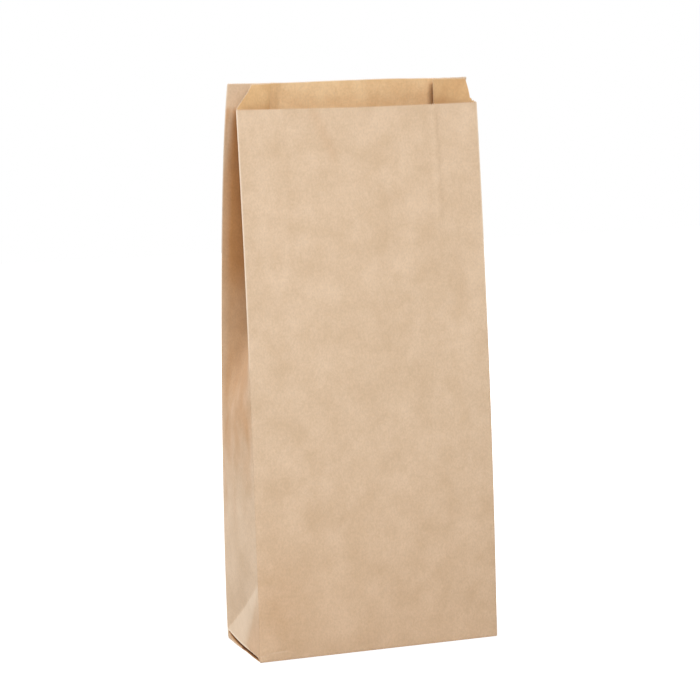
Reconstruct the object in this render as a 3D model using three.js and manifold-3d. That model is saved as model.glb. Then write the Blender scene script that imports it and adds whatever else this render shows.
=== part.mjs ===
// A small kraft paper bag with a block bottom and gusseted sides, standing open.
// Millimetres, +Z up. The bag stands on z = 0 with the middle of its base at the origin.
// Its front panel faces -Y and leans back, and its back panel ends higher, as a lip.

import * as THREE from 'three';
import Module from 'manifold-3d';
import { mergeVertices } from 'three/addons/utils/BufferGeometryUtils.js';

// The base and the front panel, and how much higher the back panel ends, as the bag's lip
const BAG_WIDTH = 140;
const BAG_DEPTH = 52;
const FRONT_HEIGHT = 294;
const BACK_LIP = 12;
const PAPER = 0.2;

// How the opened paper stands: the front's lean, with the share of it that is a curve, and the
// back's bow between its ends, with the inward turn of its top
const FRONT_LEAN = 32.8;
const FRONT_CURVE_SHARE = 0.4;
const BACK_BOW = 7.2;
const BACK_TURN = 5.6;

// The sides: flat or slightly bulged below the slanted line where the gusset folds inward
const GUSSET_START_FRONT = 160;
const GUSSET_START_BACK = 137;
const GUSSET_BLEND = 20;
const GUSSET_SLACK = 0.93;
const SIDE_BULGE = 1.8;

// The crease pressed into each side by the folded base when the bag lay flat: it runs down from
// the front edge to the back corner, and its dent fades out above
const CREASE_FRONT = 43;
const CREASE_BACK = 6;
const CREASE_DEPTH = 2;
const CREASE_FADE = 30;

// The gusset's top runs level with the back, and drops to the front corner over this width
const LEFT_DROP_WIDTH = 10;
const RIGHT_DROP_WIDTH = 6;

// The glued lap down the back
const LAP_OFFSET = 18;
const LAP_WIDTH = 16;

// The serrated cut round the mouth
const TOOTH_PITCH = 1.3;
const TOOTH_HEIGHT = 0.8;

// The folded base: the gap under each side's lower fold, which closes to a slit before the bag's
// corners, the cuts where the two flaps meet at the ends, and the width that the flaps share in
// the middle
const POCKET_GAP_FRONT = 1.3;
const POCKET_GAP_BACK = 4.2;
const POCKET_SLIT = 0.02;
const POCKET_FROM_CORNER = 0.6;
const FLAP_NOTCH_WIDTH = 6.5;
const FLAP_NOTCH_DEPTH = 5;
const FLAP_OVERLAP = 22;

// How far a cut runs past the face that it opens
const CUT_OVERRUN = 1;

// Steps of the mesh up the walls, over a panel and over the drop in a gusset's top
const WALL_STEPS = 40;
const PANEL_STEPS = 4;
const DROP_STEPS = 4;

const halfWidth = BAG_WIDTH / 2;
const halfDepth = BAG_DEPTH / 2;
const backHeight = FRONT_HEIGHT + BACK_LIP;

function smooth(from, to, value) {
  return THREE.MathUtils.smoothstep(value, from, to);
}

// Where the front and back panels stand at a height
function frontY(z) {
  const share = z / FRONT_HEIGHT;
  const straight = (1 - FRONT_CURVE_SHARE) * share;
  return -halfDepth + FRONT_LEAN * (straight + FRONT_CURVE_SHARE * share * share);
}

function backY(z) {
  const share = Math.min(z / backHeight, 1);
  const bow = BACK_BOW * Math.sin(Math.PI * share) ** 0.75;
  return halfDepth + bow - BACK_TURN * share ** 8;
}

// How far a gusset folded from end to end stands in at its middle. The paper keeps its width, so
// the fold deepens as the panels come closer.
function foldDepth(z) {
  const gap = (backY(z) - frontY(z)) / 2;
  return GUSSET_SLACK * Math.sqrt(Math.max(halfDepth ** 2 - gap ** 2, 0));
}

// The dent of the pressed crease, deepest on the crease and spent at the base and above
function creaseDent(share, z) {
  const crease = THREE.MathUtils.lerp(CREASE_FRONT, CREASE_BACK, share);
  const below = Math.min(z / crease, 1);
  const above = THREE.MathUtils.clamp(1 - (z - crease) / CREASE_FADE, 0, 1);
  return CREASE_DEPTH * (z < crease ? below : above ** 2);
}

// How far a side stands inside the base's edge, at a share of the way from its front to its back
function sideInset(share, z) {
  const start = THREE.MathUtils.lerp(GUSSET_START_FRONT, GUSSET_START_BACK, share);
  const folded = smooth(-GUSSET_BLEND, GUSSET_BLEND, z - start);
  const fold = foldDepth(z) * folded * (1 - Math.abs(2 * share - 1));
  const arch = Math.max(Math.sin(Math.PI * share), 0);
  const bulge = SIDE_BULGE * (1 - folded) * smooth(0, BAG_DEPTH, z) * arch;
  return fold - bulge + creaseDent(share, z) * arch ** 0.7;
}

// A place on the ring of paper: the panel it is on and the share of the way across it
function sideStation(end, share, dropWidth) {
  const dropShare = dropWidth / BAG_DEPTH;
  const lift = smooth(0, 1, share / dropShare);
  return {
    top: THREE.MathUtils.lerp(FRONT_HEIGHT, backHeight, lift),
    place: (z) => [
      end * (halfWidth - sideInset(share, z)),
      THREE.MathUtils.lerp(frontY(z), backY(z), share),
    ],
  };
}

function frontStation(x) {
  return { top: FRONT_HEIGHT, place: (z) => [x, frontY(z)] };
}

function backStation(x, proud = 0) {
  return { top: backHeight, proud, place: (z) => [x, backY(z)] };
}

function sideShares(dropWidth) {
  const dropShare = dropWidth / BAG_DEPTH;
  const shares = [];
  for (let step = 1; step <= DROP_STEPS; step += 1) {
    shares.push((dropShare * step) / DROP_STEPS);
  }
  const steps = PANEL_STEPS;
  for (let step = 1; step < steps; step += 1) {
    shares.push(THREE.MathUtils.lerp(dropShare, 0.5, step / steps));
  }
  for (let step = 0; step < steps; step += 1) {
    shares.push(THREE.MathUtils.lerp(0.5, 1, step / steps));
  }
  return shares;
}

// The ring runs anticlockwise seen from above, from the front left corner
function makeRing() {
  const ring = [];
  for (let step = 0; step < PANEL_STEPS; step += 1) {
    ring.push(frontStation(-halfWidth + (BAG_WIDTH * step) / PANEL_STEPS));
  }
  ring.push(sideStation(1, 0, RIGHT_DROP_WIDTH));
  for (const share of sideShares(RIGHT_DROP_WIDTH)) {
    ring.push(sideStation(1, share, RIGHT_DROP_WIDTH));
  }
  const lapEdge = LAP_OFFSET + LAP_WIDTH;
  ring.push(backStation(halfWidth));
  ring.push(backStation(lapEdge + PAPER), backStation(lapEdge, PAPER));
  ring.push(backStation(LAP_OFFSET, PAPER), backStation(LAP_OFFSET - PAPER));
  ring.push(backStation(-halfWidth));
  for (const share of sideShares(LEFT_DROP_WIDTH).reverse()) {
    ring.push(sideStation(-1, share, LEFT_DROP_WIDTH));
  }
  return ring;
}

// One row of the ring's points at a share of each station's own height, below the teeth
function sectionRow(ring, share, floor) {
  return ring.map((station) => {
    const z = floor + (station.top - TOOTH_HEIGHT - floor) * share;
    const [x, y] = station.place(z);
    return new THREE.Vector3(x, y, z);
  });
}

// Moves a row in by the paper's thickness, square to the two edges that meet at each point
function insetRow(row) {
  const count = row.length;
  return row.map((point, index) => {
    const before = row[(index + count - 1) % count];
    const after = row[(index + 1) % count];
    const inward = (a, b) => {
      const edge = new THREE.Vector2(b.x - a.x, b.y - a.y).normalize();
      return new THREE.Vector2(-edge.y, edge.x);
    };
    const first = inward(before, point);
    const second = inward(point, after);
    const mitre = first.add(second);
    mitre.multiplyScalar((2 * PAPER) / Math.max(mitre.lengthSq(), 0.02));
    return new THREE.Vector3(point.x + mitre.x, point.y + mitre.y, point.z);
  });
}

function standProud(row, ring) {
  return row.map((point, index) => {
    const proud = ring[index].proud ?? 0;
    return new THREE.Vector3(point.x, point.y + proud, point.z);
  });
}

// How many teeth stand on each step of the ring
function countTeeth(row) {
  return row.map((point, index) => {
    const next = row[(index + 1) % row.length];
    return Math.max(Math.round(point.distanceTo(next) / TOOTH_PITCH), 1);
  });
}

// The roots between the teeth, and the teeth's points, along a row
function serratedEdge(row, toothCounts) {
  const roots = [];
  const points = [];
  row.forEach((start, index) => {
    const end = row[(index + 1) % row.length];
    const count = toothCounts[index];
    for (let tooth = 0; tooth < count; tooth += 1) {
      roots.push(start.clone().lerp(end, tooth / count));
      const point = start.clone().lerp(end, (tooth + 0.5) / count);
      point.z += TOOTH_HEIGHT;
      points.push(point);
    }
  });
  return { roots, points };
}

// Collects a closed mesh's points and triangles
class Skin {
  constructor() {
    this.positions = [];
    this.triangles = [];
  }

  addRow(points) {
    const start = this.positions.length / 3;
    for (const point of points) {
      this.positions.push(point.x, point.y, point.z);
    }
    return start;
  }

  // Joins two rows of equal length that close on themselves
  band(lower, upper, count) {
    for (let index = 0; index < count; index += 1) {
      const next = (index + 1) % count;
      this.triangles.push(lower + index, lower + next, upper + next);
      this.triangles.push(lower + index, upper + next, upper + index);
    }
  }

  triangle(a, b, c, flipped) {
    if (flipped) {
      this.triangles.push(a, c, b);
    } else {
      this.triangles.push(a, b, c);
    }
  }

  // Puts a serrated edge on a row: fans up to the roots, and one triangle a tooth. It returns
  // the edge's own corners in order.
  serrate(row, points, toothCounts, flipped) {
    const edge = serratedEdge(points, toothCounts);
    const roots = this.addRow(edge.roots);
    const tips = this.addRow(edge.points);
    const total = edge.roots.length;
    const corners = [];
    let tooth = 0;
    toothCounts.forEach((count, index) => {
      const next = row + ((index + 1) % toothCounts.length);
      const middle = tooth + Math.ceil(count / 2);
      this.triangle(row + index, next, roots + (middle % total), flipped);
      for (const last = tooth + count; tooth < last; tooth += 1) {
        const root = roots + tooth;
        const after = roots + ((tooth + 1) % total);
        this.triangle(tooth < middle ? row + index : next, after, root, flipped);
        this.triangle(root, after, tips + tooth, flipped);
        corners.push(root, tips + tooth);
      }
    });
    return corners;
  }

  cap(start, points, facesUp) {
    const outline = points.map((point) => new THREE.Vector2(point.x, point.y));
    for (const [a, b, c] of THREE.ShapeUtils.triangulateShape(outline, [])) {
      if (facesUp) {
        this.triangles.push(start + a, start + b, start + c);
      } else {
        this.triangles.push(start + a, start + c, start + b);
      }
    }
  }

  geometry() {
    const shape = new THREE.BufferGeometry();
    shape.setAttribute('position', new THREE.Float32BufferAttribute(this.positions, 3));
    shape.setIndex(this.triangles);
    return shape;
  }
}

// One face of the walls, from its floor up to the teeth. It returns the serrated edge's corners.
function addWallFace(skin, rows, edgeRow, toothCounts, isInside) {
  const starts = rows.map((row) => skin.addRow(row));
  for (let index = 0; index + 1 < rows.length; index += 1) {
    const [first, second] = isInside ? [index + 1, index] : [index, index + 1];
    skin.band(starts[first], starts[second], rows[index].length);
  }
  skin.cap(starts[0], rows[0], isInside);
  return skin.serrate(starts[starts.length - 1], edgeRow, toothCounts, isInside);
}

// The walls and a plain floor: the outside and the inside, joined over the rim's teeth
function makeWalls() {
  const ring = makeRing();
  const outside = [];
  const inside = [];
  for (let step = 0; step <= WALL_STEPS; step += 1) {
    const share = step / WALL_STEPS;
    outside.push(standProud(sectionRow(ring, share, 0), ring));
    inside.push(insetRow(sectionRow(ring, share, 2 * PAPER)));
  }
  const outerEdge = outside.pop();
  const innerEdge = inside.pop();
  const toothCounts = countTeeth(outerEdge);
  const skin = new Skin();
  const outer = addWallFace(skin, outside, outerEdge, toothCounts, false);
  const inner = addWallFace(skin, inside, innerEdge, toothCounts, true);
  outer.forEach((corner, index) => {
    const next = (index + 1) % outer.length;
    skin.triangle(corner, outer[next], inner[next], false);
    skin.triangle(corner, inner[next], inner[index], false);
  });
  return skin.geometry();
}

// The side's lower fold lifts off the flaps between the base's corners, at a share of the way
// from the front one to the back one
function foldLift(share) {
  const gap = THREE.MathUtils.lerp(POCKET_GAP_FRONT, POCKET_GAP_BACK, share);
  return gap * (1 - Math.abs(2 * share - 1) ** 6);
}

// The space, or the paper, between the base's flaps and a side's triangle, which rises as part
// of a cone from its point at the middle of the base to the side's fold. The space ends short of
// the bag's corners, and the paper reaches half as near to them.
function makeTriangleSolid(end, from, to, fromCorner, reach) {
  const steps = 12;
  const tip = halfWidth - halfDepth;
  const skin = new Skin();
  const lower = [new THREE.Vector3(end * tip, 0, from)];
  const upper = [new THREE.Vector3(end * tip, 0, to)];
  for (let step = 0; step <= steps; step += 1) {
    const share = end > 0 ? step / steps : 1 - step / steps;
    const y = (2 * share - 1) * (halfDepth - fromCorner) * (1 + reach / halfDepth);
    const x = end * (halfWidth + reach);
    lower.push(new THREE.Vector3(x, y, from));
    upper.push(new THREE.Vector3(x, y, to + foldLift(share)));
  }
  const low = skin.addRow(lower);
  const high = skin.addRow(upper);
  skin.band(low, high, lower.length);
  for (let index = 1; index + 1 < lower.length; index += 1) {
    skin.triangles.push(low, low + index + 1, low + index);
    skin.triangles.push(high, high + index, high + index + 1);
  }
  return skin.geometry();
}

// The cut where the two flaps meet at an end of the base
function makeFlapNotch(end) {
  const outline = new THREE.Shape([
    new THREE.Vector2(end * (halfWidth + CUT_OVERRUN), -FLAP_NOTCH_WIDTH / 2),
    new THREE.Vector2(end * (halfWidth + CUT_OVERRUN), FLAP_NOTCH_WIDTH / 2),
    new THREE.Vector2(end * (halfWidth - FLAP_NOTCH_DEPTH), 0),
  ]);
  const notch = new THREE.ExtrudeGeometry(outline, {
    depth: CUT_OVERRUN + PAPER + POCKET_GAP_FRONT / 2,
    bevelEnabled: false,
  });
  notch.translate(0, 0, -CUT_OVERRUN);
  return notch;
}

// The second layer of paper where the glued flaps overlap, inside the bag
function makeOverlap() {
  const tip = BAG_WIDTH - BAG_DEPTH;
  const strip = new THREE.BoxGeometry(tip, FLAP_OVERLAP, 2 * PAPER);
  strip.translate(0, 0, 2 * PAPER);
  return strip;
}

const wasm = await Module();
wasm.setup();

function toSolid(geometry) {
  const bare = geometry.clone();
  bare.deleteAttribute('normal');
  bare.deleteAttribute('uv');
  const merged = mergeVertices(bare, 1e-4);
  const triVerts = new Uint32Array(merged.index.array);
  const vertProperties = new Float32Array(merged.attributes.position.array);
  return new wasm.Manifold(new wasm.Mesh({ numProp: 3, vertProperties, triVerts }));
}

function toGeometry(solid) {
  const mesh = solid.getMesh();
  const shape = new THREE.BufferGeometry();
  shape.setAttribute('position', new THREE.BufferAttribute(mesh.vertProperties, 3));
  shape.setIndex(new THREE.BufferAttribute(mesh.triVerts, 1));
  shape.computeVertexNormals();
  return shape;
}

function makeBag() {
  let bag = toSolid(makeWalls());
  bag = bag.add(toSolid(makeOverlap()));
  for (const end of [-1, 1]) {
    const paper = makeTriangleSolid(end, PAPER / 2, 2 * PAPER, POCKET_FROM_CORNER / 2, 0);
    const pocket = makeTriangleSolid(
      end, PAPER, PAPER + POCKET_SLIT, POCKET_FROM_CORNER, CUT_OVERRUN,
    );
    bag = bag.add(toSolid(paper));
    bag = bag.subtract(toSolid(pocket));
    bag = bag.subtract(toSolid(makeFlapNotch(end)));
  }
  return toGeometry(bag);
}

const kraft = new THREE.MeshStandardMaterial({
  color: 0xd9bc9a,
  roughness: 0.85,
  metalness: 0,
});

const paperBag = new THREE.Mesh(makeBag(), kraft);
paperBag.name = 'paper_bag';

const model = new THREE.Group();
model.name = 'kraft_paper_bag';
model.add(paperBag);

export default model;
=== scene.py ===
import math

import bpy
import numpy as np
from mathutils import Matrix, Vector, noise


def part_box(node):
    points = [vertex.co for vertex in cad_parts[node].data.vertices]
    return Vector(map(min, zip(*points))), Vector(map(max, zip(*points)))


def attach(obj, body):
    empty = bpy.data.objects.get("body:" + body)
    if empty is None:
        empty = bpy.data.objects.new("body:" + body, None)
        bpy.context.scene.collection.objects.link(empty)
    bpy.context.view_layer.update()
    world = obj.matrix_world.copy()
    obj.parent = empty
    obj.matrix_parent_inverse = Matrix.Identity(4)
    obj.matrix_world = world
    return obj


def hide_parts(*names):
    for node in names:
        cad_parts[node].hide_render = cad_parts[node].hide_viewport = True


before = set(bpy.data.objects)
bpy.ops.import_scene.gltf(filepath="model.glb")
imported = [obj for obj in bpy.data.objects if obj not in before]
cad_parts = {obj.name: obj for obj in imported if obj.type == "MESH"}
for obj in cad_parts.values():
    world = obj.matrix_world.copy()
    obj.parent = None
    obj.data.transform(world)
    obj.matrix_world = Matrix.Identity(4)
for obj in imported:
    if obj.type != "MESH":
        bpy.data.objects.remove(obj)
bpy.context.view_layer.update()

# A kraft paper bag with a block bottom, made as the one folded sheet that it is. The sheet is a
# ring of columns round the bag and of rows that run from the free edges of the base's flaps, over
# the base's folds and up the walls to the rim. Its sizes are in millimetres. A pair of heights or
# distances after a name is where something starts and where it has fully come in.

MM = 0.001
NODE = "paper_bag"
node_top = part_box(NODE)[1]

BAG_WIDTH = 140
BAG_DEPTH = 52
FRONT_HEIGHT = 294
BACK_HEIGHT = node_top[2] / MM
PAPER = 0.2
HALF_WIDTH = BAG_WIDTH / 2
HALF_DEPTH = BAG_DEPTH / 2
FRONT, RIGHT, BACK, LEFT = range(4)

# How the opened paper stands
FRONT_LEAN = 32.8
FRONT_CURVE_SHARE = 0.4
BACK_BOW = 7.2
BACK_BOW_POWER = 0.75
BACK_TURN = 5.6
BACK_TURN_POWER = 8

# The sides' lower, flat part ends on a slant: higher at the front edge than at the back edge
GUSSET_START_FRONT = 160
GUSSET_START_BACK = 137
GUSSET_BLEND = 28
GUSSET_SLACK = 0.93
SIDE_BULGE = 1.8

# The gusset's middle fold is round where it starts and sharp further up
FOLD_SOFT_START = 0.35
FOLD_SOFT_TOP = 0.03
FOLD_ROUNDS = (60, 10)

# How far each gusset's cut has risen at a distance from the front edge
LEFT_CUT = ((0, 0), (9.8, 9.8), (11.3, 12.8))
RIGHT_CUT = ((0, 0), (3.7, 1.6), (5.8, 12.8))

# The folded base: its flaps, and the triangle that each side lays over them
FLAP_LENGTH = 37
FLAP_OVERLAP = 22
FLAP_CORNER_CUT = 27.5
FLAP_STEP = 3
LIFT_FADE = 45
SHEETS_UNDER_TRIANGLE = 2.6
TRIANGLE_SETTLES = (0, 5)
SMALLEST_CONE = 0.02

# Each side's lower fold hangs above its folded-under corners, which turn up at the base's end
POCKET_LIFT = 2.1
POCKET_LIFT_BACK = 4.9
POCKET_RISE_START = 0.35
POCKET_FRONT_END = 0.035
STRIP_HEIGHT = 0.5
STRIP_HEIGHT_BACK = 3.9
STRIP_RISE_START = 0.4
STRIP_RISE_POWER = 2.5
STRIP_TURN = 0.2
STRIP_BULGE = 0.55
STRIP_BULGE_REACH = 1.5
FOLDED_SHEETS_GAP = 0.23

# The two corners of a base's end meet at a gap, where neither turns up
STRIP_GAP_MIDDLE = 1.0
STRIP_GAP_HALF = 3.6
STRIP_GAP_FLAT = 0.9
# Within this distance of the gap's middle, the painted shade is that of the gap
STRIP_GAP_DARK = 1.44

# The imprints of the folds that the bag was sold flat by
SIDE_CREASE_BACK = 6
SIDE_CREASE_FRONT = 43
SIDE_CREASE_DEPTH = 2.5
SIDE_CREASE_FADE = 30
SIDE_CREASE_POWER = 0.7
SECOND_CREASE_FOOT = 0.44
SECOND_CREASE_SLANT = 0.65
SECOND_CREASE_DEPTH = 0.5
SECOND_CREASE_WIDTH = 5
SECOND_CREASE_ENDS = (32, 16)
IMPRINT_FROM_EDGE = 26
IMPRINT_HEIGHT = 0.3
IMPRINT_WIDTH = 1.6
IMPRINT_STARTS = (150, 280)

# The front's small creases: each one's two ends, as places across and up the panel
SLANTED_CREASE = ((-28, 295), (-15, 265))
UPRIGHT_CREASE = ((44, 296), (44.5, 232))
FOOT_WRINKLE = ((-73, 2.8), (-51, 5.4))
DIMPLE = ((-50, 92), (-20, 70))
CREASE_END = 3

# Each crease's ends and width, and how far it stands proud of the panel
FRONT_CREASES = (
    (SLANTED_CREASE, 2.4, 0.3),
    (UPRIGHT_CREASE, 1.5, 0.38),
    (FOOT_WRINKLE, 1.1, -0.5),
    (DIMPLE, 7, 0.5),
)

# The waves and cockles of paper that has been folded, opened and handled
WAVE_SIZE = 55
WAVE_STRETCH = (1, 1, 0.6)
WAVE_HEIGHT = 0.8
WAVE_HEIGHT_SIDE = 0.5
COCKLE_SIZE = 13
COCKLE_HEIGHT = 0.13
SIDE_RELIEF = 0.6
RELIEF_STARTS = (0, 12)
RELIEF_FROM_EDGE = (0, 14)

# The noise that they are made of: a seed for each use, and how the octaves add up
WAVE_SEED = 1
COCKLE_SEED = 2
PATCH_SEED = 4
SEED_STEPS = (17.3, 5.1, 9.7)
NOISE_DIMENSION = 0.6
NOISE_LACUNARITY = 2.0

# The lap down the back
LAP_OFFSET = 18
LAP_WIDTH = 16
LAP_EDGE = (0, 0.6)

# The serrated cut
TOOTH_PITCH = 1.3
TOOTH_HEIGHT = 0.85
SHORTEST_TOOTH = 0.5 * TOOTH_PITCH
RIM_WAVE = 0.25
RIM_WAVE_LENGTH = 17
RIM_WAVE_PHASE = 2.6
BACK_RIM_EXTRA = 1.1
FRONT_RIM_SAG = 0.7

# The sheet's mesh
CORNER_STEP = 0.4
FINE_ROW = 1.5
FINE_ROWS_END = 45
ROW = 3.2
RIM_ROWS_START = 286
RIM_ROWS = 7
FLAP_ROWS = [29, 33, FLAP_LENGTH]
SHARP_ANGLE = math.radians(50)
TINY = 0.01

# How much the folds are paler, how wide and from what height up: wear and painted highlight on
# the upright folds, painted highlight on the tooth tips, the sides' lower folds, the front's foot
# wrinkle and the gussets' inner folds, and painted light on the pressed triangle at a side's foot
TOOTH_TIP_HIGHLIGHT = 0.9
CORNER_WEAR_AND_HIGHLIGHT_WIDTH = 0.8
CORNER_WEAR_AND_HIGHLIGHT_STARTS = (120, 200)
LOWER_FOLD_HIGHLIGHT_WIDTH = 0.45
WRINKLE_HIGHLIGHT = 0.45
WRINKLE_HIGHLIGHT_WIDTH = 1.2
GUSSET_FOLD_HIGHLIGHT = 0.8
GUSSET_FOLD_HIGHLIGHT_WIDTH = 0.5
GUSSET_FOLD_HIGHLIGHT_STARTS = (240, 280)
FACET_PAINTED_LIGHT = 0.52
FACET_EDGE = 0.8
FACET_STARTS = (-7, 8)

# Painted shade on the gussets' outside: none above the front's rim, uneven at its lower end
# and lighter beside its edges
GUSSET_SHADE_STARTS = (-85, 5)
GUSSET_SHADE_RIM = 0.8
GUSSET_SHADE_AT_EDGE = 0.55
GUSSET_SHADE_FROM_EDGE = (1, 7)
GUSSET_SHADE_LOWER = 0.7
GUSSET_DEEPEST_STARTS = (185, 215)
PATCH_SIZE = 11
PATCH_STRETCH = 0.5
PATCH_REACH = 22
PATCH_SHARE = 0.12

# The painted light streak near the top of each gusset's edges, where the painted shade is weaker
STREAK_FROM_EDGE = 3.8
STREAK_TOP = 291
STREAK_SLANT = 0.11
STREAK_WIDTH = 1.7
STREAK_STARTS = (252, 266)
STREAK_STRENGTH = 0.69

# Painted shade below a side's lower fold: the turned-up corners, then the pocket's painted shadow
# behind them
STRIP_SHADE_FRONT = 1.2
STRIP_SHADE_BACK = 0.35
STRIP_SHADE_GAP = 1.8
STRIP_SHADE_STARTS = (0, 0.4)
POCKET_SHADE = 2
POCKET_SHADE_STARTS = (0.6, 1.3)

# Softer painted shade on the outside: a side's foot, the front towards the bottom and along its
# lower fold, and the front's slanted crease
SIDE_FOOT_SHADE = 0.35
SIDE_FOOT_FROM_CREASE = (8, -5)
SIDE_FOOT_STARTS = (40, 10)
LOWER_FRONT_SHADE = 0.15
LOWER_FRONT_STARTS = (150, 0)
FRONT_FOLD_HEIGHT = -0.3
FRONT_FOLD_WIDTH = 0.35
SLANTED_CREASE_SHADE = 0.13
SLANTED_CREASE_SHADE_WIDTH = 3

# Painted shade on the inside: the gussets' inner faces, the flaps' ends in the pockets, a stripe
# beside the left gusset's fold, and the back's part by the rim
LEFT_INNER_SHADE = 0.85
RIGHT_INNER_SHADE = 1.13
FLAP_END_SHADE = 2
FLAP_END = (24, 18)
STRIPE_SHADE = 0.5
STRIPE_STARTS = (-47, -45)
STRIPE_ENDS = (-39, -41)
BACK_SHADE_STARTS = (230, 270)

# Darker spots: how dark, where across and up the panel, and how wide and high. The front's is low
# by its left edge; the two inside are painted shade by the right gusset's fold and by the front's
# rim
FRONT_DARK_SPOT = (0.14, (-60, 28), (16, 24))
FOLD_PAINTED_SHADE = (0.15, (46, 304), (5, 6))
RIM_PAINTED_SHADE = (0.2, (30, 291), (14, 4))

# The painted shadow's colour in the pockets under the sides' lower folds
POCKET_PAINTED_SHADOW = (0.20, 0.075, 0.02)

# The paper's textures: features to a metre, fineness and stretch
CLOUD = (60, 4)
CRINKLE = (75, 3)
FIBRE = (1100, 3, (1, 1, 0.7))
FLECK = (620, 1, (1, 1, 0.45))
GRAIN = (700, 5, (1, 1, 0.5))
TEXTURE_ROUGHNESS = 0.6

# How the textures' values and the sheet's marks act: a range, and what it turns into
CLOUD_SHARE = (0.32, 0.68, 0, 1)
FIBRE_FACTOR = (0.35, 0.65, 0.94, 1.05)
FLECK_SHARE = (0.70, 0.78, 0, 0.35)
CRINKLE_SHARE = (0, 0.03, 0.22, 0)
# The pockets' painted shadow, over the painted shade's values from 1 to 2
PAINTED_SHADOW_SHARE = (1, 2, 0, 1)
# The folds' wear and painted highlight
HIGHLIGHT_AND_WEAR_SHARE = (0.3, 1, 0, 0.85)
PLAIN_SHARE = 0.45

# The paper's surface
PAPER_ROUGHNESS = 0.62
PAPER_SPECULAR = 0.4
GRAIN_STRENGTH = 0.25
GRAIN_DEPTH = 0.2 * MM

# The places of the colour mixer's inputs and of its result
MIX_SHARE = 0
MIX_FIRST = 6
MIX_SECOND = 7
MIX_RESULT = 2

# The floor, in metres: its half width, and the distances over which it turns plain white
FLOOR_REACH = 1.5
FLOOR_DROP = 0.0002
FLOOR_FADE = (0.2, 0.7)
FLOOR_GLOW = 0.55
FLOOR_GREY = (0.82, 0.82, 0.82, 1)
FLOOR_ROUGHNESS = 0.9
FLOOR_SPECULAR = 0.1
WHITE = (1, 1, 1, 1)

# The light, in degrees, metres and watts
WORLD_LIGHT = 0.30
LAMP_AIM = Vector((0, 0, 0.15))
KEY_LAMP = {"turn": -9, "rise": 34, "distance": 1.35, "size": 0.6, "power": 12.5}
SIDE_LAMP = {"turn": -140, "rise": 30, "distance": 1.4, "size": 0.7, "power": 15}

# The photograph's view: aim point, angles, distance and focal length
CAMERA_AIM = Vector((-7.65, 0, 161.97)) * MM
CAMERA_TURN = math.radians(22.024)
CAMERA_DROP = math.radians(9.921)
CAMERA_DISTANCE = 1449.3 * MM
SENSOR = 36
FOCAL_SHARE = 2669.589 / 700


# Curves and measures

def smooth(low, high, value):
    """0 at low, 1 at high and eased between them. Low may be the larger of the two."""
    share = np.clip((value - low) / (high - low), 0, 1)
    return share * share * (3 - 2 * share)


def blend(low, high, share):
    return low + (high - low) * share


def ridge(distance, width):
    """1 at no distance, falling off to 0 over about twice the width."""
    return np.exp(-(distance / width) ** 2)


def dark_spot(x, z, strength, place, size):
    """A soft round mark on a panel."""
    return strength * ridge(x - place[0], size[0]) * ridge(z - place[1], size[1])


def fractal(points, size, seed, octaves):
    """Smooth noise at each point, about -1 to 1, with features of a size in millimetres."""
    offset = Vector([seed * step for step in SEED_STEPS])
    values = [
        noise.fractal(Vector(point) / size + offset, NOISE_DIMENSION, NOISE_LACUNARITY, octaves)
        for point in points
    ]
    return np.array(values)


def front_y(z):
    share = z / FRONT_HEIGHT
    straight = (1 - FRONT_CURVE_SHARE) * share
    return -HALF_DEPTH + FRONT_LEAN * (straight + FRONT_CURVE_SHARE * share ** 2)


def back_y(z):
    share = np.clip(z / BACK_HEIGHT, 0, 1)
    bow = BACK_BOW * np.abs(np.sin(np.pi * share)) ** BACK_BOW_POWER
    return HALF_DEPTH + bow - BACK_TURN * share ** BACK_TURN_POWER


def on_side(panel):
    return (panel == LEFT) | (panel == RIGHT)


def from_edge(panel, across):
    """The distance to the nearer upright edge of the point's panel."""
    length = np.where(on_side(panel), BAG_DEPTH, BAG_WIDTH)
    return np.minimum(across, length - across)


def side_share(panel, across):
    """The share of the way from the front edge to the back edge, on a side."""
    share = across / BAG_DEPTH
    return np.where(panel == LEFT, 1 - share, share)


def gusset_start(share):
    return blend(GUSSET_START_FRONT, GUSSET_START_BACK, share)


def side_crease_height(share):
    return blend(SIDE_CREASE_FRONT, SIDE_CREASE_BACK, share)


def second_crease(share, z):
    """The distance behind the soft crease that runs up each side from its lower fold."""
    return (share - SECOND_CREASE_FOOT) * BAG_DEPTH + z * SECOND_CREASE_SLANT


def crease(x, z, ends, width):
    """A soft line between two places on the front, 1 along it and 0 away from it."""
    start, end = ends
    run = (end[0] - start[0], end[1] - start[1])
    length = math.hypot(*run)
    along = ((x - start[0]) * run[0] + (z - start[1]) * run[1]) / length
    aside = ((x - start[0]) * run[1] - (z - start[1]) * run[0]) / length
    near_start = smooth(0, CREASE_END, along)
    near_end = smooth(length, length - CREASE_END, along)
    return ridge(aside, width) * near_start * near_end


# The folded sheet

def panel_steps(length):
    """Distances across a panel, with one close step beside each of its two edges."""
    count = round(length / TOOTH_PITCH)
    steps = list(np.linspace(0, length, count + 1)[:-1])
    return np.array([steps[0], CORNER_STEP] + steps[1:] + [length - CORNER_STEP])


def side_steps():
    """As panel_steps, with a close step on both sides of the gusset's fold too."""
    extra = [HALF_DEPTH - CORNER_STEP, HALF_DEPTH + CORNER_STEP]
    return np.sort(np.append(panel_steps(BAG_DEPTH), extra))


def make_columns():
    """The ring's columns, anticlockwise from above: the panel and the distance across it."""
    panels = []
    across = []
    for panel, steps in (
        (FRONT, panel_steps(BAG_WIDTH)),
        (RIGHT, side_steps()),
        (BACK, panel_steps(BAG_WIDTH)),
        (LEFT, side_steps()),
    ):
        panels += [panel] * len(steps)
        across += list(steps)
    return np.array(panels), np.array(across)


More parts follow.
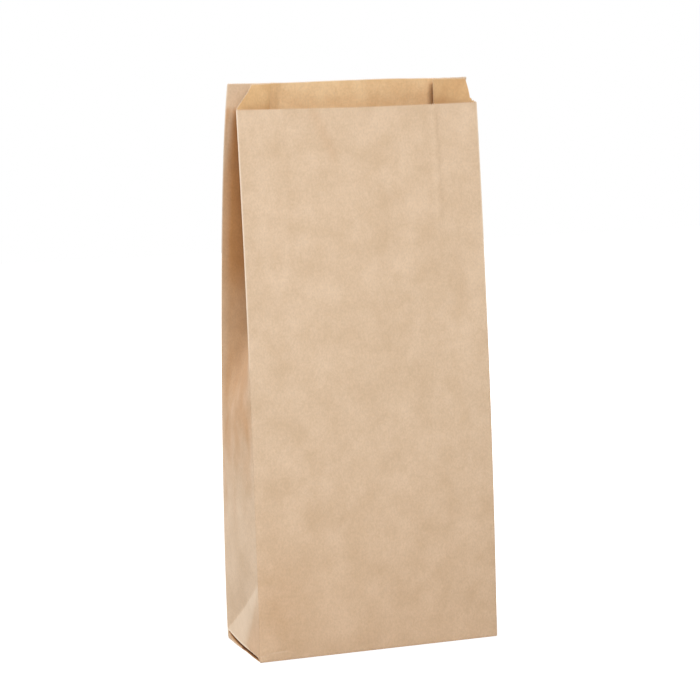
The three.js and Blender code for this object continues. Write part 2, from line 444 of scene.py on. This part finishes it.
def make_rows():
    """Distances along the sheet: negative on the base, 0 at its fold, then up the walls.

    The base's rows keep to the columns' steps, so that its slanted folds run through points.
    """
    steps = [*range(1, 9), *range(10, 21, 2)]
    base = [CORNER_STEP] + [TOOTH_PITCH * step for step in steps] + FLAP_ROWS
    fine = [0, CORNER_STEP] + list(np.arange(FINE_ROW, FINE_ROWS_END, FINE_ROW))
    count = round((RIM_ROWS_START - FINE_ROWS_END) / ROW)
    walls = list(np.linspace(FINE_ROWS_END, RIM_ROWS_START, count + 1))
    return np.array([-step for step in reversed(base)] + fine + walls)


def rim_height(panel, across):
    """Where the sheet is cut: the front low, the back high, the gussets high to their drop."""
    from_front = side_share(panel, across) * BAG_DEPTH
    left = np.interp(from_front, *zip(*LEFT_CUT))
    right = np.interp(from_front, *zip(*RIGHT_CUT))
    side = FRONT_HEIGHT + np.where(panel == LEFT, left, right)
    waves = RIM_WAVE * np.sin((across - HALF_WIDTH) / RIM_WAVE_LENGTH + RIM_WAVE_PHASE)
    back = BACK_HEIGHT + BACK_RIM_EXTRA + waves - RIM_WAVE
    front = FRONT_HEIGHT - FRONT_RIM_SAG * np.sin(np.pi * across / BAG_WIDTH)
    heights = np.select([panel == BACK, panel == FRONT], [back, front], side)
    return heights - np.where(across > 0, TOOTH_HEIGHT, 0)


def side_inset(share, z):
    """How far a side stands inside the base's edge: its gusset, bulge and pressed creases."""
    gap = (back_y(z) - front_y(z)) / 2
    full = np.sqrt(np.clip(HALF_DEPTH ** 2 - gap ** 2, 0, None))
    above_start = z - gusset_start(share)
    opened = smooth(-GUSSET_BLEND, GUSSET_BLEND, above_start)
    soft = blend(FOLD_SOFT_TOP, FOLD_SOFT_START, smooth(*FOLD_ROUNDS, above_start))
    fold = np.hypot(2 * share - 1, soft) - np.hypot(1, soft) + 1
    gusset = GUSSET_SLACK * full * opened * np.clip(1 - fold, 0, None)
    arch = np.clip(np.sin(np.pi * share), 0, None)
    bulge = SIDE_BULGE * (1 - opened) * smooth(0, BAG_DEPTH, z) * arch
    crease_z = side_crease_height(share)
    below = np.clip(z / crease_z, 0, 1)
    above = np.clip(1 - (z - crease_z) / SIDE_CREASE_FADE, 0, 1)
    pressed = np.where(z < crease_z, below, above ** 2) * arch ** SIDE_CREASE_POWER
    second = ridge(second_crease(share, z), SECOND_CREASE_WIDTH)
    second = second * smooth(*SECOND_CREASE_ENDS, z) * arch
    return gusset - bulge + SIDE_CREASE_DEPTH * pressed + SECOND_CREASE_DEPTH * second


def pocket_lift(share):
    """How high the side's lower fold lifts off the flaps."""
    rise = np.clip((share - POCKET_RISE_START) / (1 - POCKET_RISE_START), 0, 1)
    level = blend(POCKET_LIFT, POCKET_LIFT_BACK, rise ** 2)
    return level * (1 - np.exp(-share / POCKET_FRONT_END))


def strip_height(side_y):
    """How high the folded-under corners turn up at the base's end, below the side's fold."""
    share = 0.5 + side_y / BAG_DEPTH
    rise = np.clip((share - STRIP_RISE_START) / (1 - STRIP_RISE_START), 0, 1)
    height = blend(STRIP_HEIGHT, STRIP_HEIGHT_BACK, rise ** STRIP_RISE_POWER)
    from_gap = np.abs(side_y - STRIP_GAP_MIDDLE)
    return height * smooth(STRIP_GAP_FLAT, STRIP_GAP_HALF, from_gap)


def lifted_height(share, z):
    """The height at which a side's point stands, with the fold below it lifted."""
    return z + pocket_lift(share) * np.clip(1 - z / LIFT_FADE, 0, 1)


def wall_points(panel, across, z):
    share = side_share(panel, across)
    inside_corners = (share > 0) & (share < 1)
    side_z = np.where(on_side(panel) & inside_corners, lifted_height(share, z), z)
    front = front_y(side_z)
    back = back_y(side_z)
    inset = side_inset(share, side_z)
    x = np.select(
        [panel == FRONT, panel == RIGHT, panel == BACK],
        [across - HALF_WIDTH, HALF_WIDTH - inset, HALF_WIDTH - across],
        inset - HALF_WIDTH,
    )
    y = np.select(
        [panel == FRONT, panel == BACK],
        [front, back],
        front + (back - front) * share,
    )
    return np.stack([x, y, side_z], -1)


def flap_points(panel, across, reach):
    """The front and back flaps, lying flat, the front one over the back one."""
    facing = np.where(panel == FRONT, -1, 1)
    x = np.where(panel == FRONT, across - HALF_WIDTH, HALF_WIDTH - across)
    x = x * (HALF_WIDTH - np.clip(reach - FLAP_CORNER_CUT, 0, None)) / HALF_WIDTH
    lap_start = HALF_DEPTH - FLAP_OVERLAP / 2
    over = np.where(panel == FRONT, smooth(lap_start - FLAP_STEP, lap_start, reach), 0)
    return np.stack([x, facing * (HALF_DEPTH - reach), PAPER * (0.5 + over)], -1)


def base_place(share, reach):
    """Where a side's paper lies in the base, at its share and its reach from the lower fold.

    Whether it is in a folded-under corner, how far in from the base's end, and along Y.
    """
    y = (share - 0.5) * BAG_DEPTH
    under = np.abs(y) > HALF_DEPTH - reach
    inward = np.where(under, HALF_DEPTH - np.abs(y), reach)
    side_y = np.where(under, np.sign(y) * (HALF_DEPTH - reach), y)
    return under, inward, side_y


def triangle_lift(inward, side_y):
    """How high a side's triangle passes over a place on the base, as a part of a cone."""
    cone = 1 - inward / HALF_DEPTH
    foot = np.clip(0.5 + side_y / np.maximum(cone, SMALLEST_CONE) / BAG_DEPTH, 0, 1)
    return pocket_lift(foot) * cone


def triangle_points(panel, across, reach):
    """A side's triangle above its folded-under corners, which lie on the flaps."""
    reach = min(reach, HALF_DEPTH)
    under, inward, side_y = base_place(side_share(panel, across), reach)
    lift = triangle_lift(inward, side_y)
    triangle = lift + SHEETS_UNDER_TRIANGLE * PAPER * smooth(*TRIANGLE_SETTLES, inward)
    room = np.clip(lift - PAPER, FOLDED_SHEETS_GAP, None)
    strip = np.clip(strip_height(side_y), FOLDED_SHEETS_GAP, None)
    strip = np.minimum(strip, room) * (1 - np.exp(-inward / STRIP_TURN))
    z = np.where(under, PAPER * 0.5 + strip, triangle)
    bulge = STRIP_BULGE * np.sin(np.pi * reach / HALF_DEPTH) * ridge(inward, STRIP_BULGE_REACH)
    inward = np.where(under, inward - bulge, inward)
    end = np.where(panel == RIGHT, 1, -1)
    return np.stack([end * (HALF_WIDTH - inward), side_y, z], -1)


def sheet_points(panel, across, rows):
    """Every grid point of the folded sheet, as an array of rows by columns."""
    top = rim_height(panel, across)
    is_side = on_side(panel)[:, None]
    layers = []
    heights = []
    for row in rows:
        z = np.full(len(across), float(row))
        if row < 0:
            flap = flap_points(panel, across, -row)
            triangle = triangle_points(panel, across, -row)
            layers.append(np.where(is_side, triangle, flap))
        else:
            layers.append(wall_points(panel, across, z))
        heights.append(z)
    last = rows[-1]
    for step in range(1, RIM_ROWS + 1):
        z = last + (top - last) * step / RIM_ROWS
        layers.append(wall_points(panel, across, z))
        heights.append(z)
    return np.array(layers), np.array(heights)


def vertex_normals(points, faces):
    corners = points[faces]
    flat = np.cross(corners[:, 2] - corners[:, 0], corners[:, 3] - corners[:, 1])
    normals = np.zeros_like(points)
    for corner in range(4):
        np.add.at(normals, faces[:, corner], flat)
    length = np.linalg.norm(normals, axis=1, keepdims=True)
    return normals / np.maximum(length, 1e-9)


def relief(panel, across, height, points):
    """How far the paper stands proud of its plain form: waves, cockles and fold imprints."""
    is_side = on_side(panel)
    walls = smooth(*RELIEF_STARTS, height)
    wave = fractal(points * WAVE_STRETCH, WAVE_SIZE, WAVE_SEED, 2)
    wave = wave * np.where(is_side, WAVE_HEIGHT_SIDE, WAVE_HEIGHT)
    cockle = fractal(points, COCKLE_SIZE, COCKLE_SEED, 3) * COCKLE_HEIGHT
    edge = from_edge(panel, across)
    fade = smooth(*RELIEF_FROM_EDGE, edge) * np.where(is_side, SIDE_RELIEF, 1)
    imprint = IMPRINT_HEIGHT * ridge(edge - IMPRINT_FROM_EDGE, IMPRINT_WIDTH)
    imprint = np.where(is_side, 0, imprint) * smooth(*IMPRINT_STARTS, height)
    creases = sum(
        proud * crease(points[:, 0], height, ends, width)
        for ends, width, proud in FRONT_CREASES
    )
    x = HALF_WIDTH - across
    lap = (panel == BACK) * smooth(*LAP_EDGE, x - LAP_OFFSET)
    lap = lap * smooth(*LAP_EDGE, LAP_OFFSET + LAP_WIDTH - x)
    waves = walls * ((wave + cockle) * fade + imprint)
    return waves + creases * (panel == FRONT) + PAPER * lap * walls


def round_folds(points, index, panel, rows):
    """Eases the sheet's sharp folds, so that each turns over its two close steps."""
    eased = points.copy()
    corners = np.flatnonzero(panel != np.roll(panel, 1))
    for column in corners:
        before = index[:, column - 1]
        after = index[:, (column + 1) % len(panel)]
        middle = index[:, column]
        eased[middle] = (points[before] + 2 * points[middle] + points[after]) / 4
    fold_row = int(np.flatnonzero(rows == 0)[0])
    middle = index[fold_row]
    beside = eased[index[fold_row - 1]] + eased[index[fold_row + 1]]
    eased[middle] = (beside + 2 * eased[middle]) / 4
    return eased


def make_sheet():
    """The folded sheet's points and faces, before it is given its thickness."""
    panel, across = make_columns()
    rows = make_rows()
    grid, heights = sheet_points(panel, across, rows)
    row_count, column_count = heights.shape
    points = grid.reshape(-1, 3)
    index = np.arange(row_count * column_count).reshape(row_count, column_count)
    nexts = np.roll(index, -1, axis=1)
    quads = np.stack([index[:-1], nexts[:-1], nexts[1:], index[1:]], -1)
    beyond_tip = heights[:-1] < -HALF_DEPTH - TINY
    faces = quads[~(beyond_tip & on_side(panel))]
    all_panels = np.tile(panel, row_count)
    all_across = np.tile(across, row_count)
    all_heights = heights.reshape(-1)
    proud = relief(all_panels, all_across, all_heights, points)
    points = points + vertex_normals(points, faces) * proud[:, None]
    points = round_folds(points, index, panel, rows)
    return points, faces, index, all_panels, all_across, all_heights


def add_teeth(points, faces, index):
    """One pointed tooth on each full step of the rim, as a face with its tip given twice."""
    top = index[-1]
    peaks = []
    teeth = []
    for left, right, under in zip(top, np.roll(top, -1), index[-2]):
        step = np.linalg.norm(points[right] - points[left])
        if step < SHORTEST_TOOTH:
            continue
        up = points[left] - points[under]
        up = up / np.linalg.norm(up)
        tip = len(points) + len(peaks)
        teeth.append((left, right, tip, tip))
        peaks.append((points[left] + points[right]) / 2 + up * TOOTH_HEIGHT)
    return np.vstack([points, peaks]), np.vstack([faces, teeth])


def thicken(points, faces):
    """Gives the sheet its thickness: the outside, the inside and the cut edges between.

    Both sides are split into the same triangles, so that neither pierces the other. The last
    of the three results is each face's material: 0 outside, 1 inside and 2 on the cut edges.
    """
    normals = vertex_normals(points, faces)
    count = len(points)
    outside = points + normals * PAPER / 2
    inside = points - normals * PAPER / 2
    loops = [list(dict.fromkeys(int(corner) for corner in face)) for face in faces]
    polygons = []
    slots = []
    free_edges = {}
    for loop in loops:
        for second, third in zip(loop[1:-1], loop[2:]):
            polygons.append([loop[0], second, third])
            polygons.append([third + count, second + count, loop[0] + count])
            slots += [0, 1]
        for a, b in zip(loop, loop[1:] + loop[:1]):
            if (b, a) in free_edges:
                del free_edges[(b, a)]
            else:
                free_edges[(a, b)] = True
    for a, b in free_edges:
        polygons.append([b, a, a + count, b + count])
        slots.append(2)
    return np.vstack([outside, inside]), polygons, slots


# The sheet's marks: where it is rubbed pale and where it is darker

def painted_facet_light(panel, across, height):
    """Painted light on the pressed triangle at a side's foot, under its slanted crease."""
    share = side_share(panel, across)
    z = lifted_height(share, height)
    above_crease = z - side_crease_height(share)
    under_crease = smooth(FACET_EDGE, -FACET_EDGE, above_crease)
    behind = smooth(*FACET_STARTS, second_crease(share, z))
    on_wall = on_side(panel) & (height > 0)
    return np.where(on_wall, FACET_PAINTED_LIGHT * under_crease * behind, 0)


def wear_and_painted_highlight(panel, across, height):
    """Paler outside near folds: partly wear, partly painted highlight, and the facet's painted
    light.
    """
    corner = ridge(from_edge(panel, across), CORNER_WEAR_AND_HIGHLIGHT_WIDTH)
    corner = corner * smooth(*CORNER_WEAR_AND_HIGHLIGHT_STARTS, height)
    lower = np.where(on_side(panel), ridge(height, LOWER_FOLD_HIGHLIGHT_WIDTH), 0)
    wrinkle = crease(across - HALF_WIDTH, height, FOOT_WRINKLE, WRINKLE_HIGHLIGHT_WIDTH)
    lower = lower + WRINKLE_HIGHLIGHT * wrinkle * (panel == FRONT)
    return np.clip(corner + lower + painted_facet_light(panel, across, height), 0, 1)


def inner_painted_highlight(panel, across, height):
    """Painted highlight on the inside, along the gussets' middle folds at the mouth."""
    middle = ridge(across - HALF_DEPTH, GUSSET_FOLD_HIGHLIGHT_WIDTH) * smooth(*GUSSET_FOLD_HIGHLIGHT_STARTS, height)
    return np.where(on_side(panel), GUSSET_FOLD_HIGHLIGHT * middle, 0)


def painted_gusset_shade(share, across, height):
    """Painted shade on a gusset's outside, from 0 to 1, with a painted light streak at its top.
    """
    place = np.stack([across, PATCH_STRETCH * height, np.zeros_like(height)], -1)
    patches = fractal(place, PATCH_SIZE, PATCH_SEED, 3)
    above_start = height - gusset_start(share)
    opened = smooth(*GUSSET_SHADE_STARTS, above_start + PATCH_REACH * patches)
    rim = smooth(GUSSET_SHADE_RIM, -GUSSET_SHADE_RIM, height - FRONT_HEIGHT)
    edge = np.minimum(across, BAG_DEPTH - across)
    inner = blend(GUSSET_SHADE_AT_EDGE, 1, smooth(*GUSSET_SHADE_FROM_EDGE, edge))
    deepest = blend(GUSSET_SHADE_LOWER, 1, smooth(*GUSSET_DEEPEST_STARTS, height))
    streak_edge = STREAK_FROM_EDGE - (STREAK_TOP - height) * STREAK_SLANT
    streak = ridge(edge - streak_edge, STREAK_WIDTH) * smooth(*STREAK_STARTS, height)
    uneven = (1 - STREAK_STRENGTH * streak) * (1 + PATCH_SHARE * patches)
    return opened * rim * inner * deepest * uneven


def painted_pocket_shade(share, height):
    """Painted shade below a side's lower fold: the turned-up corners, then the pocket's painted
    shadow.
    """
    inward, strip_y = base_place(share, np.clip(-height, 0, HALF_DEPTH))[1:]
    gap = smooth(STRIP_GAP_HALF, STRIP_GAP_DARK, np.abs(strip_y - STRIP_GAP_MIDDLE))
    strip = np.where(strip_y > 0, STRIP_SHADE_BACK, STRIP_SHADE_FRONT)
    strip = blend(strip, STRIP_SHADE_GAP, gap)
    behind = (POCKET_SHADE - strip) * smooth(*POCKET_SHADE_STARTS, inward)
    return strip * smooth(*STRIP_SHADE_STARTS, inward) + behind


def painted_outer_shade(panel, across, height):
    """Painted shade on the outside: up to 1 in a gusset, up to 2 with a pocket's painted shadow.
    """
    share = side_share(panel, across)
    z = lifted_height(share, height)
    foot = smooth(*SIDE_FOOT_FROM_CREASE, second_crease(share, z)) * smooth(*SIDE_FOOT_STARTS, z)
    side = painted_gusset_shade(share, across, height) + SIDE_FOOT_SHADE * foot
    side = np.where(height < 0, painted_pocket_shade(share, height), side)
    x = across - HALF_WIDTH
    front = LOWER_FRONT_SHADE * smooth(*LOWER_FRONT_STARTS, height)
    front = front + ridge(height - FRONT_FOLD_HEIGHT, FRONT_FOLD_WIDTH)
    slanted = crease(x, height, SLANTED_CREASE, SLANTED_CREASE_SHADE_WIDTH)
    front = front + SLANTED_CREASE_SHADE * slanted + dark_spot(x, height, *FRONT_DARK_SPOT)
    return np.select([on_side(panel), panel == FRONT], [side, front], 0)


def painted_inner_shade(panel, across, height):
    """Painted shade on the inside: the gussets' inner faces, the flaps' ends, the back's inner
    face.
    """
    flap = FLAP_END_SHADE * smooth(*FLAP_END, from_edge(panel, across)) * (height < 0)
    x = HALF_WIDTH - across
    back = STRIPE_SHADE * smooth(*STRIPE_STARTS, x) * smooth(*STRIPE_ENDS, x)
    back = back + dark_spot(x, height, *FOLD_PAINTED_SHADE) + dark_spot(x, height, *RIM_PAINTED_SHADE)
    back = flap + back * smooth(*BACK_SHADE_STARTS, height)
    return np.select(
        [panel == LEFT, panel == RIGHT, panel == BACK],
        [LEFT_INNER_SHADE, RIGHT_INNER_SHADE, back],
        flap,
    )


def build_bag(materials):
    points, faces, index, panel, across, height = make_sheet()
    sheet_count = len(points)
    points, faces = add_teeth(points, faces, index)
    tip_count = len(points) - sheet_count
    solid, polygons, slots = thicken(points, faces)
    mesh = bpy.data.meshes.new("folded_bag")
    mesh.from_pydata((solid * MM).tolist(), [], polygons)
    for material in materials:
        mesh.materials.append(material)
    mesh.polygons.foreach_set("material_index", slots)
    # For the outside, the tooth tips and the inside; the tips get painted highlight and no
    # painted shade
    for name, outer, inner, tip in (
        ("wear_and_painted_highlight", wear_and_painted_highlight, inner_painted_highlight, TOOTH_TIP_HIGHLIGHT),
        ("painted_fold_shade", painted_outer_shade, painted_inner_shade, 0),
    ):
        tips = np.full(tip_count, float(tip))
        halves = [outer(panel, across, height), tips, inner(panel, across, height), tips]
        layer = mesh.attributes.new(name, "FLOAT", "POINT")
        layer.data.foreach_set("value", np.concatenate(halves))
    mesh.polygons.foreach_set("use_smooth", [True] * len(polygons))
    mesh.update()
    mesh.set_sharp_from_angle(angle=SHARP_ANGLE)
    mesh.validate()
    bag = bpy.data.objects.new("folded_bag", mesh)
    bpy.context.collection.objects.link(bag)
    return bag


# Materials

def new_material(name):
    material = bpy.data.materials.new(name)
    material.use_nodes = True
    tree = material.node_tree
    return material, tree, tree.nodes["Principled BSDF"]


def feed(tree, value, socket):
    """Gives a socket what it takes: another node's output, a colour or a number."""
    if isinstance(value, bpy.types.NodeSocket):
        tree.links.new(value, socket)
    elif isinstance(value, tuple):
        socket.default_value = (*value, 1)
    else:
        socket.default_value = value


def add_noise(tree, place, scale, detail, stretch=(1, 1, 1)):
    mapping = tree.nodes.new("ShaderNodeMapping")
    mapping.inputs["Scale"].default_value = stretch
    tree.links.new(place, mapping.inputs["Vector"])
    texture = tree.nodes.new("ShaderNodeTexNoise")
    texture.inputs["Scale"].default_value = scale
    texture.inputs["Detail"].default_value = detail
    texture.inputs["Roughness"].default_value = TEXTURE_ROUGHNESS
    tree.links.new(mapping.outputs["Vector"], texture.inputs["Vector"])
    return texture.outputs["Fac"]


def add_math(tree, operation, *values):
    node = tree.nodes.new("ShaderNodeMath")
    node.operation = operation
    for value, socket in zip(values, node.inputs):
        feed(tree, value, socket)
    return node.outputs["Value"]


def spread(tree, value, low, high, to_low, to_high):
    """Turns a value's range into another one, and keeps to it beyond the ends."""
    node = tree.nodes.new("ShaderNodeMapRange")
    node.inputs["From Min"].default_value = low
    node.inputs["From Max"].default_value = high
    node.inputs["To Min"].default_value = to_low
    node.inputs["To Max"].default_value = to_high
    tree.links.new(value, node.inputs["Value"])
    return node.outputs["Result"]


def mix_colors(tree, share, first, second, blend_type="MIX"):
    node = tree.nodes.new("ShaderNodeMix")
    node.data_type = "RGBA"
    node.blend_type = blend_type
    feed(tree, share, node.inputs[MIX_SHARE])
    feed(tree, first, node.inputs[MIX_FIRST])
    feed(tree, second, node.inputs[MIX_SECOND])
    return node.outputs[MIX_RESULT]


def add_attribute(tree, name):
    node = tree.nodes.new("ShaderNodeAttribute")
    node.attribute_name = name
    return node.outputs["Fac"]


def kraft_material(name, deep, plain, pale, highlight_and_wear_color, painted_shade_color, painted_shade_share):
    """Kraft paper: cloudy formation, fibres, flecks, crinkles, painted shade, wear and painted
    highlight.
    """
    material, tree, shader = new_material(name)
    place = tree.nodes.new("ShaderNodeTexCoord").outputs["Object"]
    cloud = spread(tree, add_noise(tree, place, *CLOUD), *CLOUD_SHARE)
    color = mix_colors(tree, cloud, deep, pale)
    color = mix_colors(tree, PLAIN_SHARE, color, plain)
    fibre = spread(tree, add_noise(tree, place, *FIBRE), *FIBRE_FACTOR)
    grey = tree.nodes.new("ShaderNodeCombineColor")
    for channel in range(3):
        tree.links.new(fibre, grey.inputs[channel])
    color = mix_colors(tree, 1.0, color, grey.outputs["Color"], "MULTIPLY")
    fleck = spread(tree, add_noise(tree, place, *FLECK), *FLECK_SHARE)
    color = mix_colors(tree, fleck, color, deep)
    from_middle = add_math(tree, "SUBTRACT", add_noise(tree, place, *CRINKLE), 0.5)
    crinkle = spread(tree, add_math(tree, "ABSOLUTE", from_middle), *CRINKLE_SHARE)
    color = mix_colors(tree, crinkle, color, deep)
    # Painted shade in the folds and gussets, and from 1 to 2 the pockets' painted shadow
    depth = add_attribute(tree, "painted_fold_shade")
    shade = spread(tree, depth, 0, 1, 0, painted_shade_share)
    color = mix_colors(tree, shade, color, painted_shade_color, "MULTIPLY")
    color = mix_colors(tree, spread(tree, depth, *PAINTED_SHADOW_SHARE), color, POCKET_PAINTED_SHADOW)
    # Paler folds: wear and painted highlight
    highlight_and_wear = spread(tree, add_attribute(tree, "wear_and_painted_highlight"), *HIGHLIGHT_AND_WEAR_SHARE)
    color = mix_colors(tree, highlight_and_wear, color, highlight_and_wear_color)
    tree.links.new(color, shader.inputs["Base Color"])
    shader.inputs["Roughness"].default_value = PAPER_ROUGHNESS
    shader.inputs["Specular IOR Level"].default_value = PAPER_SPECULAR
    bump = tree.nodes.new("ShaderNodeBump")
    bump.inputs["Strength"].default_value = GRAIN_STRENGTH
    bump.inputs["Distance"].default_value = GRAIN_DEPTH
    tree.links.new(add_noise(tree, place, *GRAIN), bump.inputs["Height"])
    tree.links.new(bump.outputs["Normal"], shader.inputs["Normal"])
    return material


def make_materials():
    # Each paper's last colour and share are those of its painted shade
    outside = kraft_material(
        "kraft_outside",
        deep=(0.57, 0.40, 0.25),
        plain=(0.65, 0.475, 0.32),
        pale=(0.72, 0.54, 0.38),
        highlight_and_wear_color=(0.88, 0.75, 0.60),
        painted_shade_color=(0.75, 0.48, 0.22),
        painted_shade_share=0.95,
    )
    # The inside's colours are warmer and more orange than the outside's: painted warm bounce
    # light between the walls
    inside = kraft_material(
        "kraft_inside",
        deep=(0.75, 0.47, 0.23),
        plain=(0.90, 0.61, 0.335),
        pale=(0.98, 0.73, 0.44),
        highlight_and_wear_color=(0.94, 0.74, 0.50),
        painted_shade_color=(0.70, 0.60, 0.46),
        painted_shade_share=0.75,
    )
    cut = kraft_material(
        "kraft_cut_edge",
        deep=(0.78, 0.62, 0.46),
        plain=(0.86, 0.72, 0.57),
        pale=(0.92, 0.80, 0.66),
        highlight_and_wear_color=(0.88, 0.74, 0.6),
        painted_shade_color=(0.57, 0.32, 0.12),
        painted_shade_share=0.3,
    )
    return [outside, inside, cut]


# The studio

def make_floor():
    """A pale floor that keeps the bag's shadow and is plain white further off."""
    mesh = bpy.data.meshes.new("floor")
    corners = [
        (FLOOR_REACH * x, FLOOR_REACH * y, 0) for x, y in ((-1, -1), (1, -1), (1, 1), (-1, 1))
    ]
    mesh.from_pydata(corners, [], [(0, 1, 2, 3)])
    floor = bpy.data.objects.new("floor", mesh)
    bpy.context.collection.objects.link(floor)
    floor.location.z = -FLOOR_DROP
    material, tree, shader = new_material("pale_floor")
    shader.inputs["Base Color"].default_value = FLOOR_GREY
    shader.inputs["Roughness"].default_value = FLOOR_ROUGHNESS
    shader.inputs["Specular IOR Level"].default_value = FLOOR_SPECULAR
    shader.inputs["Emission Color"].default_value = WHITE
    distance = tree.nodes.new("ShaderNodeVectorMath")
    distance.operation = "LENGTH"
    place = tree.nodes.new("ShaderNodeTexCoord").outputs["Object"]
    tree.links.new(place, distance.inputs[0])
    white = spread(tree, distance.outputs["Value"], *FLOOR_FADE, FLOOR_GLOW, 1)
    seen = tree.nodes.new("ShaderNodeLightPath").outputs["Is Camera Ray"]
    glow = add_math(tree, "MULTIPLY", seen, white)
    tree.links.new(glow, shader.inputs["Emission Strength"])
    mesh.materials.append(material)


def make_world():
    """A white surround that lights the bag less brightly than it looks itself."""
    world = bpy.data.worlds.new("studio")
    world.use_nodes = True
    bpy.context.scene.world = world
    tree = world.node_tree
    tree.nodes.clear()
    output = tree.nodes.new("ShaderNodeOutputWorld")
    mix = tree.nodes.new("ShaderNodeMixShader")
    light_path = tree.nodes.new("ShaderNodeLightPath")
    tree.links.new(light_path.outputs["Is Camera Ray"], mix.inputs[0])
    for socket, strength in ((1, WORLD_LIGHT), (2, 1)):
        light = tree.nodes.new("ShaderNodeBackground")
        light.inputs["Color"].default_value = WHITE
        light.inputs["Strength"].default_value = strength
        tree.links.new(light.outputs[0], mix.inputs[socket])
    tree.links.new(mix.outputs[0], output.inputs[0])


def add_lamp(name, turn, rise, distance, size, power):
    """A square soft lamp, turned about the bag from -Y towards +X, aimed at its middle."""
    lamp = bpy.data.lights.new(name, "AREA")
    lamp.shape = "SQUARE"
    lamp.size = size
    lamp.energy = power
    body = bpy.data.objects.new(name, lamp)
    bpy.context.collection.objects.link(body)
    turn = math.radians(turn)
    rise = math.radians(rise)
    away = Vector((
        math.sin(turn) * math.cos(rise),
        -math.cos(turn) * math.cos(rise),
        math.sin(rise),
    ))
    body.location = LAMP_AIM + away * distance
    body.rotation_euler = away.to_track_quat("Z", "Y").to_euler()


def make_camera():
    camera = bpy.data.cameras.new("camera")
    camera.sensor_width = SENSOR
    camera.lens = SENSOR * FOCAL_SHARE
    body = bpy.data.objects.new("camera", camera)
    bpy.context.collection.objects.link(body)
    view = Vector((
        math.sin(CAMERA_TURN) * math.cos(CAMERA_DROP),
        math.cos(CAMERA_TURN) * math.cos(CAMERA_DROP),
        -math.sin(CAMERA_DROP),
    ))
    body.location = CAMERA_AIM - view * CAMERA_DISTANCE
    body.rotation_euler = (math.pi / 2 - CAMERA_DROP, 0, -CAMERA_TURN)
    bpy.context.scene.camera = body


bag = build_bag(make_materials())
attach(bag, "root")
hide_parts(NODE)
make_floor()
make_world()
add_lamp("key_lamp", **KEY_LAMP)
add_lamp("side_lamp", **SIDE_LAMP)
make_camera()
bpy.context.scene.view_settings.view_transform = "Standard"
